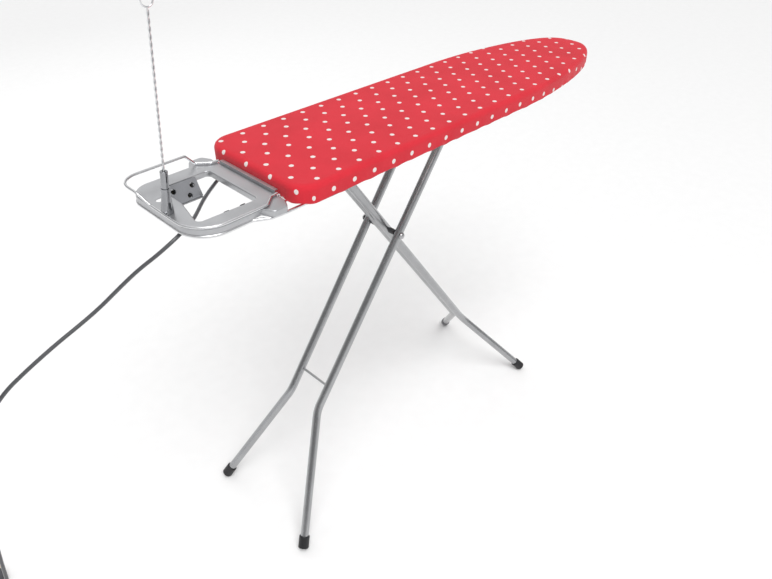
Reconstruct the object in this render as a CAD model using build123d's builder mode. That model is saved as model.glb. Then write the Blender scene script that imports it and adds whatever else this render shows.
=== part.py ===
# Folding ironing board with an iron rest, a built-in socket and a cord holder.
# Frame: +X towards the nose, +Y to the far side, +Z up, floor at Z = 0, and the
# origin on the floor below the middle of the whole length. All sizes in mm.
import os
from math import cos, pi, radians, sin, tan

from build123d import *

# ---------------------------------------------------------------- driving sizes
board_length = 1100.0          # cover, wide end to nose
board_width = 296.0            # cover, across the parallel part
board_height = 956.0           # floor to the ironing surface, legs at full height
rest_reach = 205.0             # iron rest, beyond the wide end of the cover
corner_radius = 46.0           # wide end corners of the cover
nose_length = 411.0            # the part of the board that tapers
nose_power_x = 1.48            # shape of the taper along the board
nose_power_y = 2.7             # shape of the taper across the board

cover_thick = 1.6              # cotton cover
cover_depth = 36.5             # how far the cover reaches down the edge
cover_top_round = 12.0
cover_low_round = 4.5
hem_width = 23.0               # the cover's turned-under edge
pad_thick = 9.8                # felt and foam under the cover
mesh_thick = 1.2               # perforated steel surface
rim_width = 20.0               # U channel round the edge
rim_wall = 1.8
rim_low_round = 3.5
gap = 0.2                      # between pieces that only rest on each other
running = 0.06                 # radial clearance of a turning fit

leg_tube = 20.0                # leg tube, outside
leg_wall = 1.2
leg_angle = 54.3               # both leg pairs, from the floor, at full height
folded_angle = 2.5             # both leg pairs, from the board, when folded
arm = 273.6                    # middle pivot to either upper pivot
hinge_inset = 192.6            # inner legs' hinge, from the wide end
hinge_drop = 62.0              # upper pivots, below the ironing surface
outer_half = 49.8              # outer legs, tube centre from the middle plane
inner_gap = 4.8                # clear space between the inner legs
outer_straight = 474.0         # outer legs, middle pivot to the bend
outer_foot_angle = 60.1        # outer legs below the bend, from the floor
outer_foot_half = 163.3        # outer feet, from the middle plane
inner_straight = 559.6         # inner legs, middle pivot to the bend
inner_foot_half = 165.7        # inner feet, from the middle plane
bend_radius = 95.0
tie_from_pivot = 408.0         # tie rod between the outer legs, along the leg
tie_d = 6.0
foot_d = 26.0                  # foot cap, outside
foot_length = 30.0
foot_round = 2.5
foot_end = 4.0                 # solid end of a foot cap below the tube

pivot_bolt_d = 8.0
bush_d = 13.5
hinge_pin_d = 10.0
head_d = 16.0
head_high = 6.5
washer_gap = 0.4

guide_d = 12.0                 # rod that the outer legs' slider runs on
guide_above = 18.0             # guide rod centre above the slider's axle
guide_over = 45.0              # guide rod beyond the slider's end positions
slider_long = 36.0
slider_wide = 36.0

brace_wide = 30.0
brace_high = 10.0
brace_wall = 1.5

plate_drop = 24.0              # iron rest plate's top, below the ironing surface
plate_thick = 1.5
plate_flange = 12.0
plate_half = 112.0
ear_half = 134.0
plate_gap = 10.5               # iron rest plate, from the wide end of the cover
rod_d = 5.0                    # upper guard rod
frame_rod_d = 6.0              # lower frame rod
guard_rise = 24.0              # raised heel stop above the plate level

socket_wide = 66.0
socket_high = 38.0
socket_face_thick = 4.0
socket_tilt = 59.3             # socket face, from level
socket_hole_d = 10.0
cord_d = 7.0

holder_d = 22.0
holder_cone = 44.0
holder_tube = 33.0
holder_tube_d = 13.0
wand_d = 5.0
wand_length = 280.0
wand_seat = 26.0               # how deep the wand stands in its holder

# ------------------------------------------------------------ derived positions
end_x = -(board_length + rest_reach) / 2 + rest_reach   # wide end of the cover
nose_x = end_x + board_length
half = board_width / 2
cover_low = board_height - cover_depth
pad_top = board_height - cover_thick - gap
pad_low = pad_top - pad_thick
mesh_top = pad_low - gap
mesh_low = mesh_top - mesh_thick
rim_top = mesh_low - gap / 2
rim_low = cover_low + cover_thick + 0.6
rim_inset = cover_thick + 0.5
brace_top = mesh_low - gap / 2
brace_low = brace_top - brace_high
pivot_z = board_height - hinge_drop
hinge_x = end_x + hinge_inset
lean = radians(leg_angle)
middle = Vector(hinge_x + arm * cos(lean), 0, pivot_z - arm * sin(lean))
slider_x = hinge_x + 2 * arm * cos(lean)
slider_folded_x = hinge_x + 2 * arm * cos(radians(folded_angle))
tube_r = leg_tube / 2
inner_half = tube_r + inner_gap / 2   # inner legs, tube centre from the middle plane
plate_top = board_height - plate_drop
plate_low = plate_top - plate_flange
rest_x = end_x - rest_reach
plate_x0 = rest_x + 15.0
plate_x1 = end_x - plate_gap
guide_z = pivot_z + guide_above

os.makedirs("parts", exist_ok=True)


def save(piece, name):
    """Label a finished piece and write it as one STEP file."""
    piece.part.label = name
    export_step(piece.part, "parts/" + name + ".step")


def nose_half(share):
    """Half width of the taper, share 0 where it starts and 1 at the tip."""
    return half * (1 - share ** nose_power_x) ** (1 / nose_power_y)


def inset_face(distance, z):
    """The cover's outline seen from above, moved inwards by a distance, at a height."""
    taper_x = nose_x - nose_length
    radius = corner_radius - distance
    left = end_x + distance
    wide = half - distance
    curve = []
    for share in (0.06, 0.14, 0.24, 0.35, 0.46, 0.57, 0.68, 0.78, 0.87, 0.94, 0.98):
        rest = 1 - share ** nose_power_x
        slope = -half / nose_power_y * rest ** (1 / nose_power_y - 1) * nose_power_x * share ** (nose_power_x - 1)
        tangent = Vector(nose_length, slope, 0).normalized()
        x = taper_x + share * nose_length + distance * tangent.Y
        curve.append((x, nose_half(share) - distance * tangent.X))
    with BuildSketch(Plane.XY.offset(z), mode=Mode.PRIVATE) as inset:
        with BuildLine():
            Line((left, 0), (left, wide - radius))
            RadiusArc((left, wide - radius), (left + radius, wide), radius)
            Line((left + radius, wide), (taper_x, wide))
            Spline((taper_x, wide), *curve, (nose_x - distance, 0), tangents=[(1, 0), (0, -1)])
            mirror(about=Plane.XZ)
        make_face()
    return inset.sketch


def ring_face(outer, inner, z):
    """The band between two inset outlines, at a height."""
    outside = inset_face(outer, z)
    inside = inset_face(inner, z)
    with BuildSketch(Plane.XY.offset(z), mode=Mode.PRIVATE) as ring:
        add(outside.moved(Location((0, 0, -z))))
        add(inside.moved(Location((0, 0, -z))), mode=Mode.SUBTRACT)
    return ring.sketch


def rod(points, radii, diameter, wall=0.0):
    """A round bar or tube along straight runs joined by arcs."""
    with BuildPart() as bar:
        with BuildLine() as path:
            FilletPolyline(*points, radius=radii)
        with BuildSketch(Plane(origin=path.line @ 0, z_dir=path.line % 0)):
            Circle(diameter / 2)
            if wall:
                Circle(diameter / 2 - wall, mode=Mode.SUBTRACT)
        sweep()
    return bar


def cross_pin(x, z, y0, y1, diameter, bore=0.0):
    """A round bar along Y between two places."""
    with BuildPart() as pin:
        with BuildSketch(Plane(origin=(x, y0, z), z_dir=(0, 1, 0))):
            Circle(diameter / 2)
            if bore:
                Circle(bore / 2, mode=Mode.SUBTRACT)
        extrude(amount=y1 - y0)
    return pin


# ------------------------------------------------------------------ the surface
with BuildPart() as cover:
    extrude(inset_face(0, cover_low), amount=cover_depth)
    fillet(cover.faces().sort_by(Axis.Z)[-1].edges(), radius=cover_top_round)
    fillet(cover.faces().sort_by(Axis.Z)[0].edges(), radius=cover_low_round)
with BuildPart() as cover_room:
    extrude(inset_face(cover_thick, cover_low + cover_thick), amount=cover_depth - 2 * cover_thick)
    fillet(cover_room.faces().sort_by(Axis.Z)[-1].edges(), radius=cover_top_round - cover_thick)
    fillet(cover_room.faces().sort_by(Axis.Z)[0].edges(), radius=cover_low_round - cover_thick)
with BuildPart() as fabric_cover:
    add(cover.part)
    add(cover_room.part, mode=Mode.SUBTRACT)
    extrude(inset_face(hem_width, cover_low - 1), amount=4, mode=Mode.SUBTRACT)
save(fabric_cover, "fabric_cover")

with BuildPart() as foam_pad:
    extrude(inset_face(cover_thick + gap + 1.2, pad_low), amount=pad_thick)
    fillet(foam_pad.faces().sort_by(Axis.Z)[-1].edges(), radius=pad_thick * 0.88)
save(foam_pad, "foam_pad")

slot_long = 34.0
slot_wide = 12.0
slot_pitch_x = 46.0
slot_pitch_y = 22.0
slot_margin = 34.0
slot_rows = 9
with BuildPart() as top_mesh:
    extrude(inset_face(rim_inset, mesh_low), amount=mesh_thick)
    with BuildSketch(Plane.XY.offset(mesh_low)):
        for row in range(slot_rows):
            y = (row - (slot_rows - 1) / 2) * slot_pitch_y
            if abs(y) > half - slot_margin - slot_wide:
                continue
            share = max(0.0, 1 - ((abs(y) + slot_margin) / half) ** nose_power_y) ** (1 / nose_power_x)
            room = nose_x - nose_length * (1 - share) - slot_margin - (end_x + slot_margin)
            count = int(room // slot_pitch_x)
            first = end_x + slot_margin + slot_long / 2 + (row % 2) * slot_pitch_x / 2
            with Locations(*[(first + n * slot_pitch_x, y) for n in range(count - row % 2)]):
                SlotOverall(slot_long, slot_wide)
    extrude(amount=mesh_thick, mode=Mode.SUBTRACT)
save(top_mesh, "top_mesh")

with BuildPart() as rim_channel:
    extrude(ring_face(rim_inset, rim_inset + rim_width, rim_low), amount=rim_top - rim_low)
    outer_low = rim_channel.faces().sort_by(Axis.Z)[0].outer_wire().edges()
    fillet(outer_low, radius=rim_low_round)
    groove = ring_face(rim_inset + rim_wall, rim_inset + rim_width - rim_wall, rim_low + rim_wall)
    extrude(groove, amount=60, mode=Mode.SUBTRACT)
save(rim_channel, "rim_channel")

# -------------------------------------------------- braces under the top surface
brace_places = {
    "brace_rest": end_x + 92.0,
    "brace_hinge": hinge_x,
    "brace_guide_rear": slider_x - guide_over,
    "brace_guide_front": slider_folded_x + guide_over,
}
for name, x in brace_places.items():
    share = max(0.0, (x + brace_wide / 2 - (nose_x - nose_length)) / nose_length)
    reach = nose_half(share) - rim_inset - rim_width - 2.0
    with BuildPart() as brace:
        with BuildSketch(Plane.XZ.offset(-reach)):
            with Locations((x, brace_top - brace_high / 2)):
                Rectangle(brace_wide, brace_high)
            with Locations((x, brace_top - brace_high / 2 - brace_wall)):
                Rectangle(brace_wide - 2 * brace_wall, brace_high, mode=Mode.SUBTRACT)
        extrude(amount=2 * reach)
    save(brace, name)

# ------------------------------------------------------- hinge of the inner legs
cheek_inner = inner_half + tube_r + 2.2
cheek_thick = 3.0
cheek_low = pivot_z - 13.0
web_low = brace_low - gap - cheek_thick
with BuildPart() as hinge_bracket:
    for side in (-1, 1):
        face_y = -side * cheek_inner if side > 0 else cheek_inner
        with BuildSketch(Plane.XZ.offset(face_y)):
            with BuildLine():
                Polyline(
                    (hinge_x - 13, cheek_low + 10),
                    (hinge_x - 13, pivot_z),
                    (hinge_x - 30, web_low + cheek_thick),
                    (hinge_x + 30, web_low + cheek_thick),
                    (hinge_x + 13, pivot_z),
                    (hinge_x + 13, cheek_low + 10),
                    (hinge_x, cheek_low),
                    close=True,
                )
            make_face()
            with Locations((hinge_x, pivot_z)):
                Circle(hinge_pin_d / 2 + running, mode=Mode.SUBTRACT)
        extrude(amount=-side * cheek_thick)
    with BuildSketch(Plane.XY.offset(web_low)):
        with Locations((hinge_x, 0)):
            Rectangle(60, 2 * (cheek_inner + cheek_thick))
    extrude(amount=cheek_thick)
save(hinge_bracket, "hinge_bracket")

pin_end = cheek_inner + cheek_thick + washer_gap
with BuildPart() as hinge_pin:
    with BuildSketch(Plane(origin=(hinge_x, -pin_end, pivot_z), z_dir=(0, 1, 0))):
        Circle(hinge_pin_d / 2)
    extrude(amount=2 * pin_end)
    for side in (-1, 1):
        with BuildSketch(Plane(origin=(hinge_x, side * pin_end, pivot_z), z_dir=(0, side, 0))):
            Circle(hinge_pin_d / 2 + 3)
        extrude(amount=3)
save(hinge_pin, "hinge_pin")

# --------------------------------------------------------------- guide and rails
guide_x0 = slider_x - guide_over - 14
guide_x1 = slider_folded_x + guide_over + 14
with BuildPart() as guide_rod:
    with BuildSketch(Plane(origin=(guide_x0, 0, guide_z), z_dir=(1, 0, 0))):
        Circle(guide_d / 2)
    extrude(amount=guide_x1 - guide_x0)
    chamfer(guide_rod.edges().filter_by(GeomType.CIRCLE), length=1)
save(guide_rod, "guide_rod")

hanger_thick = 4.0
hanger_half = 14.0
for name, x in (("guide_hanger_rear", slider_x - guide_over), ("guide_hanger_front", slider_folded_x + guide_over)):
    with BuildPart() as hanger:
        with BuildSketch(Plane(origin=(x - hanger_thick / 2, 0, 0), x_dir=(0, 1, 0), z_dir=(1, 0, 0))):
            with Locations((0, (guide_z + brace_low - gap) / 2)):
                Rectangle(2 * hanger_half, brace_low - gap - guide_z)
            with Locations((0, guide_z)):
                Circle(hanger_half)
                Circle(guide_d / 2 + running, mode=Mode.SUBTRACT)
        extrude(amount=hanger_thick)
        with BuildSketch(Plane.XY.offset(brace_low - gap - 2)):
            with Locations((x, 0)):
                Rectangle(brace_wide - 4, 2 * hanger_half + 14)
        extrude(amount=2)
    save(hanger, name)

# ------------------------------------------------------------------------- legs
down_outer = Vector(-cos(lean), 0, -sin(lean))
down_inner = Vector(cos(lean), 0, -sin(lean))
outer_bend = middle + down_outer * outer_straight
outer_foot_x = outer_bend.X - outer_bend.Z / tan(radians(outer_foot_angle))
inner_bend = middle + down_inner * inner_straight
inner_foot_x = inner_bend.X + inner_bend.Z / tan(lean)
outer_top = Vector(slider_x, 0, pivot_z)
inner_top = Vector(hinge_x, 0, pivot_z)


def foot_place(bend, foot_x, half_top, half_foot, side):
    """Where a foot's end face is centred, and the leg's direction there.

    The cap's end is square to the tube, and its rounded rim touches the floor.
    """
    corner = Vector(bend.X, side * half_top, bend.Z)
    floor_point = Vector(foot_x, side * half_foot, 0)
    along = (floor_point - corner).normalized()
    steep = -along.Z
    level = (1 - steep ** 2) ** 0.5
    lift = (foot_d / 2 - foot_round) * level + foot_round * (1 - steep)
    return floor_point - along * (lift / steep), along


def leg(top, bend, foot_x, half_top, half_foot, side, bores):
    """One leg tube: straight, then bent outwards to its foot, with cross bores."""
    up = (top - bend).normalized()
    start = top + up * (tube_r + 3) + Vector(0, side * half_top, 0)
    corner = Vector(bend.X, side * half_top, bend.Z)
    face, along = foot_place(bend, foot_x, half_top, half_foot, side)
    with BuildPart() as tube:
        with BuildLine() as path:
            FilletPolyline(start, corner, face - along * foot_end, radius=bend_radius)
        with BuildSketch(Plane(origin=path.line @ 0, z_dir=path.line % 0)):
            Circle(leg_tube / 2)
            Circle(leg_tube / 2 - leg_wall, mode=Mode.SUBTRACT)
        sweep()
        for place, diameter in bores:
            with BuildSketch(Plane(origin=(place.X, side * half_top - leg_tube, place.Z), z_dir=(0, 1, 0))):
                Circle(diameter / 2)
            extrude(amount=2 * leg_tube, mode=Mode.SUBTRACT)
    return tube


def foot_cap(bend, foot_x, half_top, half_foot, side):
    """A moulded cap over the tube's end, square at its rounded end."""
    face, along = foot_place(bend, foot_x, half_top, half_foot, side)
    mouth = Plane(origin=face - along * foot_length, z_dir=along)
    with BuildPart() as cap:
        with BuildSketch(mouth):
            Circle(foot_d / 2)
        extrude(amount=foot_length)
        fillet(cap.faces().sort_by(Axis(tuple(face), tuple(along)))[-1].edges(), radius=foot_round)
        fillet(cap.faces().sort_by(Axis(tuple(face), tuple(along)))[0].edges(), radius=foot_round / 2)
        with BuildSketch(mouth):
            Circle(leg_tube / 2 + 0.05)
        extrude(amount=foot_length - foot_end + 0.1, mode=Mode.SUBTRACT)
    return cap


bolt_bore = pivot_bolt_d + 2 * running
pin_bore = hinge_pin_d + 2 * running
tie_place = middle + down_outer * tie_from_pivot
for side, word in ((-1, "near"), (1, "far")):
    save(leg(outer_top, outer_bend, outer_foot_x, outer_half, outer_foot_half, side,
        [(outer_top, pin_bore), (middle, bolt_bore)]), "outer_leg_" + word)
    save(leg(inner_top, inner_bend, inner_foot_x, inner_half, inner_foot_half, side,
        [(inner_top, pin_bore), (middle, bolt_bore)]), "inner_leg_" + word)
    save(foot_cap(outer_bend, outer_foot_x, outer_half, outer_foot_half, side), "outer_foot_" + word)
    save(foot_cap(inner_bend, inner_foot_x, inner_half, inner_foot_half, side), "inner_foot_" + word)

tie_end = outer_half - tube_r - 0.1
with BuildPart() as tie_rod:
    with BuildSketch(Plane(origin=(tie_place.X, -tie_end, tie_place.Z), z_dir=(0, 1, 0))):
        Circle(tie_d / 2)
    extrude(amount=2 * tie_end)
save(tie_rod, "tie_rod")

# Middle pivot: one long bolt, a domed head each side and a bush in each space.
bolt_end = outer_half + tube_r + washer_gap
with BuildPart() as pivot_bolt:
    with BuildSketch(Plane(origin=(middle.X, -bolt_end, middle.Z), z_dir=(0, 1, 0))):
        Circle(pivot_bolt_d / 2)
    extrude(amount=2 * bolt_end)
save(pivot_bolt, "pivot_bolt")
for side, word in ((-1, "near"), (1, "far")):
    with BuildPart() as dome:
        with BuildSketch(Plane.XZ):
            with BuildLine():
                Polyline((head_d / 2, 1.5), (head_d / 2, 0), (0, 0), (0, head_high))
                ThreePointArc((0, head_high), (head_d * 0.36, head_high * 0.72), (head_d / 2, 1.5))
            make_face()
        revolve(axis=Axis.Z)
    seat = Plane(origin=(middle.X, side * bolt_end, middle.Z), z_dir=(0, side, 0))
    with BuildPart() as dome_nut:
        add(dome.part.moved(seat.location))
    save(dome_nut, "dome_nut_" + word)
    bush_from = inner_half + tube_r + gap
    bush_to = outer_half - tube_r - washer_gap
    if side < 0:
        bush_from, bush_to = -bush_to, -bush_from
    bush = cross_pin(middle.X, middle.Z, bush_from, bush_to, bush_d, bolt_bore)
    save(bush, "pivot_bush_" + word)

# The inner tubes stand a little apart, joined by two studded blocks.
block_half = inner_gap / 2 - 0.1
stud_d = 7.0
for name, from_pivot in (("leg_tie_upper", -45.0), ("leg_tie_lower", 420.0)):
    centre = middle + down_inner * from_pivot
    outward = Vector(-sin(lean), 0, -cos(lean))
    level = Plane(origin=centre - outward * 6, x_dir=(0, 1, 0), z_dir=outward)
    with BuildPart() as leg_tie:
        with BuildSketch(level):
            RectangleRounded(2 * block_half, 16, block_half / 2)
        extrude(amount=12)
        with BuildSketch(level.offset(12)):
            Circle(stud_d / 2)
        extrude(amount=2)
        fillet(leg_tie.faces().sort_by(Axis(tuple(centre), tuple(outward)))[-1].edges(), radius=1.6)
    save(leg_tie, name)

# Outer legs' axle, and the slider that hangs from the guide rod.
axle_end = outer_half + tube_r + washer_gap
with BuildPart() as slider_axle:
    with BuildSketch(Plane(origin=(slider_x, -axle_end, pivot_z), z_dir=(0, 1, 0))):
        Circle(hinge_pin_d / 2)
    extrude(amount=2 * axle_end)
    for side in (-1, 1):
        with BuildSketch(Plane(origin=(slider_x, side * axle_end, pivot_z), z_dir=(0, side, 0))):
            Circle(hinge_pin_d / 2 + 3)
        extrude(amount=3)
save(slider_axle, "slider_axle")

slider_low = pivot_z - 9.5
slider_top = guide_z + 11.0
lever_x = slider_x - 9.0
lever_z = guide_z + 1.0
slider_lever_d = 5.0
with BuildPart() as slider:
    with BuildSketch(Plane.XY.offset(slider_low)):
        with Locations((slider_x, 0)):
            RectangleRounded(slider_long, slider_wide, 3)
    extrude(amount=slider_top - slider_low)
    chamfer(slider.faces().sort_by(Axis.Z)[-1].edges(), length=1.5)
    with BuildSketch(Plane(origin=(slider_x, -slider_wide, pivot_z), z_dir=(0, 1, 0))):
        Circle(pin_bore / 2)
    extrude(amount=2 * slider_wide, mode=Mode.SUBTRACT)
    with BuildSketch(Plane(origin=(slider_x - slider_long, 0, guide_z), z_dir=(1, 0, 0))):
        Circle(guide_d / 2 + running)
    extrude(amount=2 * slider_long, mode=Mode.SUBTRACT)
save(slider, "slider")

# Spacers keep the slider between the outer legs.
for side, word in ((-1, "near"), (1, "far")):
    from_y = slider_wide / 2 + washer_gap
    to_y = outer_half - tube_r - washer_gap
    if side < 0:
        from_y, to_y = -to_y, -from_y
    spacer = cross_pin(slider_x, pivot_z, from_y, to_y, hinge_pin_d + 6, pin_bore)
    save(spacer, "slider_spacer_" + word)

# Height lever: a bent wire hinged on the slider's near side, with a grip.
lever_pin_y = -(slider_wide / 2)
lever_reach = 106.0
boss_d = 13.0
with BuildPart() as lever_pin:
    with BuildSketch(Plane(origin=(slider_x, 0, slider_top + 0.2), z_dir=(0, 0, 1))):
        with Locations((0, -slider_wide / 2 + 8)):
            Circle(3)
    extrude(amount=7.5)
save(lever_pin, "lever_pin")
lever_level = slider_top + 1.0
with BuildPart() as lever_arm:
    with BuildSketch(Plane.XY.offset(lever_level)):
        with Locations((slider_x, -slider_wide / 2 + 8)):
            Circle(boss_d / 2)
        with Locations((slider_x, -slider_wide / 2 + 8 - lever_reach / 2)):
            Rectangle(9, lever_reach)
        with Locations((slider_x, -slider_wide / 2 + 8)):
            Circle(3 + running, mode=Mode.SUBTRACT)
    extrude(amount=3)
    fillet(lever_arm.edges().filter_by(Axis.Z).sort_by(Axis.Y)[:2], radius=3)
save(lever_arm, "lever_arm")
grip_from = -slider_wide / 2 + 8 - lever_reach + 1.5
with BuildPart() as lever_grip:
    with BuildSketch(Plane(origin=(slider_x, grip_from - 3, lever_level + 1.5), x_dir=(1, 0, 0), z_dir=(0, 1, 0))):
        SlotOverall(17, 9)
    extrude(amount=44)
    fillet(lever_grip.faces().sort_by(Axis.Y)[0].edges(), radius=2)
    with BuildSketch(Plane(origin=(slider_x, grip_from - 1.6, lever_level + 1.5), x_dir=(1, 0, 0), z_dir=(0, 1, 0))):
        Rectangle(9.2, 3.2)
    extrude(amount=60, mode=Mode.SUBTRACT)
save(lever_grip, "lever_grip")

# --------------------------------------------------------------- iron rest plate
cut_x1 = plate_x1 - 32.0
cut_half = 77.0
near_corner_x = plate_x0 + 26.0
far_corner_x = plate_x0 + 46.0
near_round = 60.0              # rest plate's outer corners
far_round = 40.0


def plate_outline(shrink, grow, z):
    """The rest plate seen from above: its outline moved in, its opening moved out."""
    ear_x0 = plate_x1 - 46.0
    with BuildSketch(mode=Mode.PRIVATE) as shape:
        with BuildLine():
            Polyline(
                (plate_x1, -ear_half + 20),
                (plate_x1 - 10, -ear_half),
                (ear_x0 + 8, -ear_half),
                (ear_x0 - 6, -plate_half),
                (plate_x0, -plate_half),
                (plate_x0, plate_half),
                (ear_x0 - 6, plate_half),
                (ear_x0 + 8, ear_half),
                (plate_x1 - 10, ear_half),
                (plate_x1, ear_half - 20),
                close=True,
            )
        make_face()
        outer_corners = shape.vertices().group_by(Axis.X)[0].sort_by(Axis.Y)
        fillet(outer_corners[0], radius=near_round)
        outer_corners = shape.vertices().group_by(Axis.X)[0].sort_by(Axis.Y)
        fillet(outer_corners[-1], radius=far_round)
        fillet(shape.vertices().filter_by(lambda v: abs(v.Y) > ear_half - 1), radius=10)
        if shrink:
            offset(amount=-shrink)
    with BuildSketch(mode=Mode.PRIVATE) as opening:
        with BuildLine():
            Polyline(
                (cut_x1, -cut_half),
                (near_corner_x, -cut_half + 4),
                (far_corner_x - 2, 0),
                (far_corner_x, cut_half),
                (cut_x1, cut_half),
                close=True,
            )
        make_face()
        fillet(opening.vertices(), radius=9)
        if grow:
            offset(amount=grow)
    with BuildSketch(Plane.XY.offset(z), mode=Mode.PRIVATE) as plate:
        add(shape.sketch_local)
        add(opening.sketch_local, mode=Mode.SUBTRACT)
    return plate.sketch


with BuildPart() as rest_plate:
    extrude(plate_outline(0, 0, plate_low), amount=plate_flange)
    fillet(rest_plate.faces().sort_by(Axis.Z)[-1].edges(), radius=2.5)
    inner = plate_outline(plate_thick, plate_thick, plate_low - 1)
    extrude(inner, amount=plate_flange + 1 - plate_thick, mode=Mode.SUBTRACT)
    with BuildSketch(Plane.XY.offset(plate_top)):
        with Locations((plate_x0 + 25, 38)):
            SlotOverall(20, 13)
    extrude(amount=-plate_flange, mode=Mode.SUBTRACT)
save(rest_plate, "rest_plate")

# A raised strip closes the space between the plate and the board.
strip_half = 84.0
with BuildPart() as rest_strip:
    with BuildSketch(Plane(origin=(0, -strip_half, 0), x_dir=(1, 0, 0), z_dir=(0, -1, 0))):
        with BuildLine():
            Polyline(
                (plate_x1 + 0.1, plate_top - 11),
                (plate_x1 + 0.1, plate_top + 6),
                (plate_x1 + 7.5, plate_top + 6),
                (plate_x1 + 7.5, plate_top + 4.6),
                (plate_x1 + 1.5, plate_top + 4.6),
                (plate_x1 + 1.5, plate_top - 11),
                close=True,
            )
        make_face()
    extrude(amount=-2 * strip_half)
save(rest_strip, "rest_strip")

# Guard rod: lies on the plate's edge, rises at the far outer corner, and dips
# under the board at both ends.
under = cover_low - 8.0
over_z = plate_top + rod_d / 2 + 0.6
rise_z = plate_top + guard_rise
guard_x = plate_x0 - 1.5
guard_y = plate_half + 1.0
drop_x = (plate_x1 + end_x) / 2
rod_end_x = end_x + 112.0
guard_points = [
    (rod_end_x, -90, under),
    (drop_x, -90, under),
    (drop_x, -90.5, over_z),
    (plate_x1 - 14, -93, over_z),
    (plate_x1 - 38, -guard_y, over_z),
    (guard_x, -guard_y, over_z),
    (guard_x, 26, over_z),
    (rest_x + rod_d / 2, 46, rise_z),
    (rest_x + rod_d / 2, guard_y - 2, rise_z),
    (plate_x1 - 56, guard_y - 1, rise_z),
    (plate_x1 - 38, guard_y, over_z),
    (plate_x1 - 14, 93, over_z),
    (drop_x, 90.5, over_z),
    (drop_x, 90, under),
    (rod_end_x, 90, under),
]
guard_radii = [6, 5, 10, 12, near_round + 1, 9, 9, far_round - 4, 8, 8, 8, 5, 6]
save(rod(guard_points, guard_radii, rod_d), "guard_rod")

frame_z = plate_low - frame_rod_d / 2 - 0.5
frame_x = plate_x0 + 1.0
frame_y = plate_half - 2.0
frame_points = [
    (rod_end_x, -122, under),
    (end_x - 14, -122, under),
    (plate_x1 - 42, -126, frame_z),
    (plate_x1 - 70, -frame_y, frame_z),
    (frame_x, -frame_y, frame_z),
    (frame_x, frame_y, frame_z),
    (plate_x1 - 70, frame_y, frame_z),
    (plate_x1 - 42, 126, frame_z),
    (end_x - 14, 122, under),
    (rod_end_x, 122, under),
]
frame_radii = [14, 14, 14, near_round - 2, far_round - 2, 14, 14, 14]
save(rod(frame_points, frame_radii, frame_rod_d), "frame_rod")

# Blocks under the board that hold the rods' ends.
block_long = 34.0
block_x = rod_end_x - block_long / 2 - 4
for side, word in ((-1, "near"), (1, "far")):
    block_low = under - 4.5
    with BuildPart() as rest_block:
        with BuildSketch(Plane.XY.offset(block_low)):
            with Locations((block_x, side * 104)):
                RectangleRounded(block_long, 50, 4)
        block_top = cover_low - gap
        extrude(amount=block_top - block_low)
        with BuildSketch(Plane.XY.offset(block_top)):
            with Locations((block_x, side * 98)):
                Rectangle(block_long - 8, 34)
        extrude(amount=brace_low - gap - block_top)
        for y, diameter in ((side * 90, rod_d), (side * 122, frame_rod_d)):
            with BuildSketch(Plane(origin=(block_x - block_long, y, under), z_dir=(1, 0, 0))):
                Circle(diameter / 2 + running)
            extrude(amount=2 * block_long, mode=Mode.SUBTRACT)
    save(rest_block, "rest_block_" + word)

# ------------------------------------------------------------------ socket group
tilt = radians(socket_tilt)
socket_centre = Vector(cut_x1 - 65.0, cut_half - 15.5, plate_top - socket_high / 2 * sin(tilt) + 0.5)
face_plane = Plane(origin=socket_centre, x_dir=(1, 0, 0), z_dir=(0, -sin(tilt), cos(tilt)))
upslope = Vector(0, cos(tilt), sin(tilt))
socket_holes = [(20.5, 6.4), (-18.3, 6.4), (9.0, -10.2)]

with BuildPart() as socket_face:
    with BuildSketch(face_plane):
        RectangleRounded(socket_wide, socket_high, 2)
    extrude(amount=-socket_face_thick)
    chamfer(socket_face.faces().sort_by(Axis((0, 0, 0), (0, -sin(tilt), cos(tilt))))[-1].edges(), length=0.6)
    with BuildSketch(face_plane):
        with Locations(*socket_holes):
            Circle(socket_hole_d / 2)
    extrude(amount=-socket_face_thick, mode=Mode.SUBTRACT)
save(socket_face, "socket_face")

bracket_back = socket_face_thick + 0.1
bracket_thick = 2.0
tab_wide = 6.0
with BuildPart() as socket_bracket:
    with BuildSketch(face_plane.offset(-bracket_back)):
        with Locations((0, -3.5)):
            Rectangle(socket_wide, socket_high - 1)
        Rectangle(socket_wide - 12, socket_high - 11, mode=Mode.SUBTRACT)
    extrude(amount=-bracket_thick)
    with BuildSketch(face_plane.offset(-bracket_back)):
        with Locations((0, -socket_high / 2 - 2)):
            Rectangle(socket_wide, 2)
    extrude(amount=bracket_back + 1)
    with BuildSketch(Plane.XY.offset(plate_low - gap - bracket_thick)):
        tab_x = socket_wide / 2 - tab_wide / 2
        with Locations((socket_centre.X - tab_x, cut_half + 9.5), (socket_centre.X + tab_x, cut_half + 9.5)):
            Rectangle(tab_wide, 35)
    extrude(amount=bracket_thick)
save(socket_bracket, "socket_bracket")

box_plane = face_plane.offset(-bracket_back - 2.2)
box_deep = 22.0
box_high = 25.0
box_low = -socket_high / 2 + 4.5
with BuildPart() as socket_box:
    with BuildSketch(box_plane):
        with Locations((0, box_low + box_high / 2)):
            RectangleRounded(socket_wide - 14, box_high, 3)
    extrude(amount=-box_deep)
    with BuildSketch(box_plane):
        with Locations((0, box_low + box_high / 2)):
            RectangleRounded(socket_wide - 16, box_high - 2, 2)
    extrude(amount=-box_deep + 2, mode=Mode.SUBTRACT)
save(socket_box, "socket_box")

with BuildPart() as socket_contacts:
    with BuildSketch(box_plane.offset(-4)):
        with Locations(*socket_holes):
            Circle(2.9)
        with Locations(*socket_holes):
            Circle(2.3, mode=Mode.SUBTRACT)
    extrude(amount=-12)
save(socket_contacts, "socket_contacts")

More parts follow.
